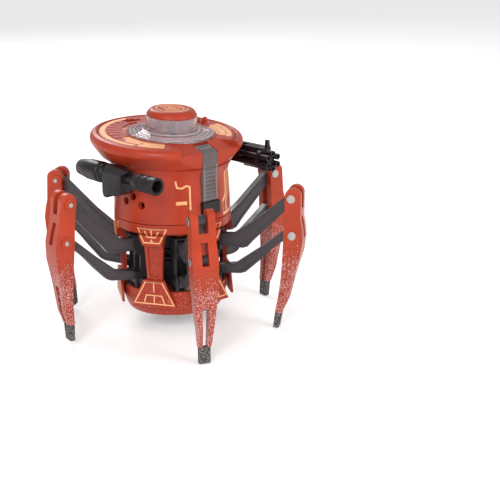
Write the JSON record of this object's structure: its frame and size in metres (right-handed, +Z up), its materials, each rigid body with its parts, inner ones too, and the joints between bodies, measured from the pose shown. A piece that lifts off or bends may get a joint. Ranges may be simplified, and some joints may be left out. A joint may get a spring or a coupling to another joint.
{
  "type": "hexapod spider robot",
  "caption": "Palm-sized hexapod walking robot: steering saucer head on a pillared base, linkage legs that swing and lift, clear sensor turret and clip-on side pods.",
  "frame": {"origin": "on the floor under the steering axis, which is the middle of the six hip pivots", "axes": "+Z up along the steering axis; the head looks along -Y at rest; +X is the robot's own left side"},
  "size_m": [0.1233, 0.1162, 0.0983],
  "materials": {
    "body_red": "satin",
    "leg_red": "satin",
    "arm_grey": "satin",
    "pod_black": "satin",
    "core_black": "matte",
    "clear_smoke": "polished",
    "pin_steel": "turned",
    "toe_rubber": "matte",
    "board_green": "satin",
    "emitter_dark": "polished",
    "cell_steel": "brushed",
    "motor_steel": "brushed"
  },
  "bodies": {
    "base": {"base_bowl": "body_red", "belly_plate": "core_black", "belly_screws": "pin_steel", "waist_pillars": "leg_red", "deck_ring": "body_red", "drive_core": "core_black"},
    "stride_a": {"stride_plate_a": "core_black"},
    "stride_b": {"stride_plate_b": "core_black"},
    "head": {"head_drum": "body_red", "saucer_rim": "body_red", "top_plate": "body_red", "sensor_turret": "clear_smoke", "turret_cap": "body_red", "ir_receiver": "core_black", "visor_light_guide": "clear_smoke", "emitter_window": "emitter_dark", "battery_door": "body_red", "circuit_board": "board_green", "button_cells": "cell_steel", "drive_motors": "motor_steel", "cannon_bracket": "pod_black", "cannon_barrel": "pod_black", "gatling_blaster": "pod_black"},
    "switch": {"power_switch": "pod_black"},
    "yoke_mid_left": {"hip_yoke_mid_left": "core_black"},
    "upper_mid_left": {"upper_arm_mid_left": "arm_grey"},
    "lower_mid_left": {"lower_arm_mid_left": "arm_grey"},
    "shin_mid_left": {"shin_mid_left": "leg_red", "knee_pins_mid_left": "pin_steel", "foot_tip_mid_left": "toe_rubber"},
    "yoke_mid_right": {"hip_yoke_mid_right": "core_black"},
    "upper_mid_right": {"upper_arm_mid_right": "arm_grey"},
    "lower_mid_right": {"lower_arm_mid_right": "arm_grey"},
    "shin_mid_right": {"shin_mid_right": "leg_red", "knee_pins_mid_right": "pin_steel", "foot_tip_mid_right": "toe_rubber"},
    "yoke_front_right": {"hip_yoke_front_right": "core_black"},
    "upper_front_right": {"upper_arm_front_right": "arm_grey"},
    "lower_front_right": {"lower_arm_front_right": "arm_grey"},
    "shin_front_right": {"shin_front_right": "leg_red", "knee_pins_front_right": "pin_steel", "foot_tip_front_right": "toe_rubber"},
    "yoke_front_left": {"hip_yoke_front_left": "core_black"},
    "upper_front_left": {"upper_arm_front_left": "arm_grey"},
    "lower_front_left": {"lower_arm_front_left": "arm_grey"},
    "shin_front_left": {"shin_front_left": "leg_red", "knee_pins_front_left": "pin_steel", "foot_tip_front_left": "toe_rubber"},
    "yoke_rear_right": {"hip_yoke_rear_right": "core_black"},
    "upper_rear_right": {"upper_arm_rear_right": "arm_grey"},
    "lower_rear_right": {"lower_arm_rear_right": "arm_grey"},
    "shin_rear_right": {"shin_rear_right": "leg_red", "knee_pins_rear_right": "pin_steel", "foot_tip_rear_right": "toe_rubber"},
    "yoke_rear_left": {"hip_yoke_rear_left": "core_black"},
    "upper_rear_left": {"upper_arm_rear_left": "arm_grey"},
    "lower_rear_left": {"lower_arm_rear_left": "arm_grey"},
    "shin_rear_left": {"shin_rear_left": "leg_red", "knee_pins_rear_left": "pin_steel", "foot_tip_rear_left": "toe_rubber"}
  },
  "joints": [
    {"name": "head_steer", "type": "hinge", "parent": "base", "child": "head", "pos_m": [0, 0, 0.0495], "axis": [0, 0, 1], "continuous": true},
    {"name": "swing_mid_left", "type": "hinge", "parent": "base", "child": "yoke_mid_left", "pos_m": [0.018, 0, 0.032], "axis": [0, 0, 1], "range_deg": [0, 17.2]},
    {"name": "lift_mid_left", "type": "hinge", "parent": "yoke_mid_left", "child": "upper_mid_left", "pos_m": [0.018, 0, 0.04], "axis": [-0.1495, -0.9888, 0], "range_deg": [-8, 8]},
    {"name": "tie_mid_left", "type": "hinge", "parent": "yoke_mid_left", "child": "lower_mid_left", "pos_m": [0.01958, -0.00024, 0.0237], "axis": [-0.1495, -0.9888, 0], "range_deg": [-8.1, 8.1]},
    {"name": "knee_mid_left", "type": "hinge", "parent": "upper_mid_left", "child": "shin_mid_left", "pos_m": [0.05458, -0.00553, 0.061], "axis": [-0.1495, -0.9888, 0], "range_deg": [-8.1, 8.1]},
    {"name": "swing_mid_right", "type": "hinge", "parent": "base", "child": "yoke_mid_right", "pos_m": [-0.018, 0, 0.032], "axis": [0, 0, 1], "range_deg": [-0.1, 17.3]},
    {"name": "lift_mid_right", "type": "hinge", "parent": "yoke_mid_right", "child": "upper_mid_right", "pos_m": [-0.018, 0, 0.04], "axis": [0.1495, 0.9888, 0], "range_deg": [-8.1, 8.1]},
    {"name": "tie_mid_right", "type": "hinge", "parent": "yoke_mid_right", "child": "lower_mid_right", "pos_m": [-0.0208, 0.00042, 0.0237], "axis": [0.1495, 0.9888, 0], "range_deg": [-8.1, 8.1]},
    {"name": "knee_mid_right", "type": "hinge", "parent": "upper_mid_right", "child": "shin_mid_right", "pos_m": [-0.05297, 0.00529, 0.06365], "axis": [0.1495, 0.9888, 0], "range_deg": [-8.1, 8.1]},
    {"name": "swing_front_right", "type": "hinge", "parent": "base", "child": "yoke_front_right", "pos_m": [-0.009, -0.01559, 0.032], "axis": [0, 0, 1], "range_deg": [-8.7, 0.1]},
    {"name": "lift_front_right", "type": "hinge", "parent": "yoke_front_right", "child": "upper_front_right", "pos_m": [-0.009, -0.01559, 0.04], "axis": [-0.9011, 0.4337, 0], "range_deg": [-8.1, 8.1]},
    {"name": "tie_front_right", "type": "hinge", "parent": "yoke_front_right", "child": "lower_front_right", "pos_m": [-0.01022, -0.01813, 0.0237], "axis": [-0.9011, 0.4337, 0], "range_deg": [-8.1, 8.1]},
    {"name": "knee_front_right", "type": "hinge", "parent": "upper_front_right", "child": "shin_front_right", "pos_m": [-0.02501, -0.04885, 0.06115], "axis": [-0.9011, 0.4337, 0], "range_deg": [-8.1, 8.1]},
    {"name": "swing_front_left", "type": "hinge", "parent": "base", "child": "yoke_front_left", "pos_m": [0.009, -0.01559, 0.032], "axis": [0, 0, 1], "range_deg": [-8.7, 0.1]},
    {"name": "lift_front_left", "type": "hinge", "parent": "yoke_front_left", "child": "upper_front_left", "pos_m": [0.009, -0.01559, 0.04], "axis": [-0.8261, -0.5635, 0], "range_deg": [-8.1, 8.1]},
    {"name": "tie_front_left", "type": "hinge", "parent": "yoke_front_left", "child": "lower_front_left", "pos_m": [0.00924, -0.01594, 0.0237], "axis": [-0.8261, -0.5635, 0], "range_deg": [-8.1, 8.1]},
    {"name": "knee_front_left", "type": "hinge", "parent": "upper_front_left", "child": "shin_front_left", "pos_m": [0.02994, -0.04628, 0.06073], "axis": [-0.8261, -0.5635, 0], "range_deg": [-8.1, 8.1]},
    {"name": "swing_rear_right", "type": "hinge", "parent": "base", "child": "yoke_rear_right", "pos_m": [-0.009, 0.01559, 0.032], "axis": [0, 0, 1], "range_deg": [-8.7, 0.1]},
    {"name": "lift_rear_right", "type": "hinge", "parent": "yoke_rear_right", "child": "upper_rear_right", "pos_m": [-0.009, 0.01559, 0.04], "axis": [0.8261, 0.5635, 0], "range_deg": [-8.1, 8.1]},
    {"name": "tie_rear_right", "type": "hinge", "parent": "yoke_rear_right", "child": "lower_rear_right", "pos_m": [-0.0099, 0.01691, 0.0237], "axis": [0.8261, 0.5635, 0], "range_deg": [-8.1, 8.1]},
    {"name": "knee_rear_right", "type": "hinge", "parent": "upper_rear_right", "child": "shin_rear_right", "pos_m": [-0.02899, 0.04489, 0.0635], "axis": [0.8261, 0.5635, 0], "range_deg": [-8.1, 8.1]},
    {"name": "swing_rear_left", "type": "hinge", "parent": "base", "child": "yoke_rear_left", "pos_m": [0.009, 0.01559, 0.032], "axis": [0, 0, 1], "range_deg": [-8.7, 0.1]},
    {"name": "lift_rear_left", "type": "hinge", "parent": "yoke_rear_left", "child": "upper_rear_left", "pos_m": [0.009, 0.01559, 0.04], "axis": [0.9011, -0.4337, 0], "range_deg": [-8.1, 8.1]},
    {"name": "tie_rear_left", "type": "hinge", "parent": "yoke_rear_left", "child": "lower_rear_left", "pos_m": [0.01022, 0.01813, 0.0237], "axis": [0.9011, -0.4337, 0], "range_deg": [-8.1, 8.1]},
    {"name": "knee_rear_left", "type": "hinge", "parent": "upper_rear_left", "child": "shin_rear_left", "pos_m": [0.02501, 0.04885, 0.06115], "axis": [0.9011, -0.4337, 0], "range_deg": [-8.1, 8.1]},
    {"name": "plate_a_slide", "type": "slide", "parent": "base", "child": "stride_a", "axis": [0, 1, 0], "range_m": [-0.0022, 0.0001]},
    {"name": "plate_b_slide", "type": "slide", "parent": "base", "child": "stride_b", "axis": [0, 1, 0], "range_m": [-0.0001, 0.0022]},
    {"name": "switch_slide", "type": "slide", "parent": "head", "child": "switch", "axis": [1, 0, 0], "range_m": [0, 0.0044]}
  ],
  "couplings": [
    {"joint": "tie_mid_left", "follows": "lift_mid_left", "ratio": 1},
    {"joint": "knee_mid_left", "follows": "lift_mid_left", "ratio": -1},
    {"joint": "swing_mid_right", "follows": "swing_mid_left", "ratio": 1},
    {"joint": "lift_mid_right", "follows": "lift_mid_left", "ratio": -1},
    {"joint": "tie_mid_right", "follows": "lift_mid_left", "ratio": -1},
    {"joint": "knee_mid_right", "follows": "lift_mid_left", "ratio": 1},
    {"joint": "swing_front_right", "follows": "swing_mid_left", "ratio": -0.5},
    {"joint": "lift_front_right", "follows": "lift_mid_left", "ratio": 1},
    {"joint": "tie_front_right", "follows": "lift_mid_left", "ratio": 1},
    {"joint": "knee_front_right", "follows": "lift_mid_left", "ratio": -1},
    {"joint": "swing_front_left", "follows": "swing_mid_left", "ratio": -0.5},
    {"joint": "lift_front_left", "follows": "lift_mid_left", "ratio": -1},
    {"joint": "tie_front_left", "follows": "lift_mid_left", "ratio": -1},
    {"joint": "knee_front_left", "follows": "lift_mid_left", "ratio": 1},
    {"joint": "swing_rear_right", "follows": "swing_mid_left", "ratio": -0.5},
    {"joint": "lift_rear_right", "follows": "lift_mid_left", "ratio": 1},
    {"joint": "tie_rear_right", "follows": "lift_mid_left", "ratio": 1},
    {"joint": "knee_rear_right", "follows": "lift_mid_left", "ratio": -1},
    {"joint": "swing_rear_left", "follows": "swing_mid_left", "ratio": -0.5},
    {"joint": "lift_rear_left", "follows": "lift_mid_left", "ratio": -1},
    {"joint": "tie_rear_left", "follows": "lift_mid_left", "ratio": -1},
    {"joint": "knee_rear_left", "follows": "lift_mid_left", "ratio": 1},
    {"joint": "plate_a_slide", "follows": "swing_mid_left", "m_per_rad": -0.0069737},
    {"joint": "plate_b_slide", "follows": "swing_mid_left", "m_per_rad": 0.0069737}
  ]
}
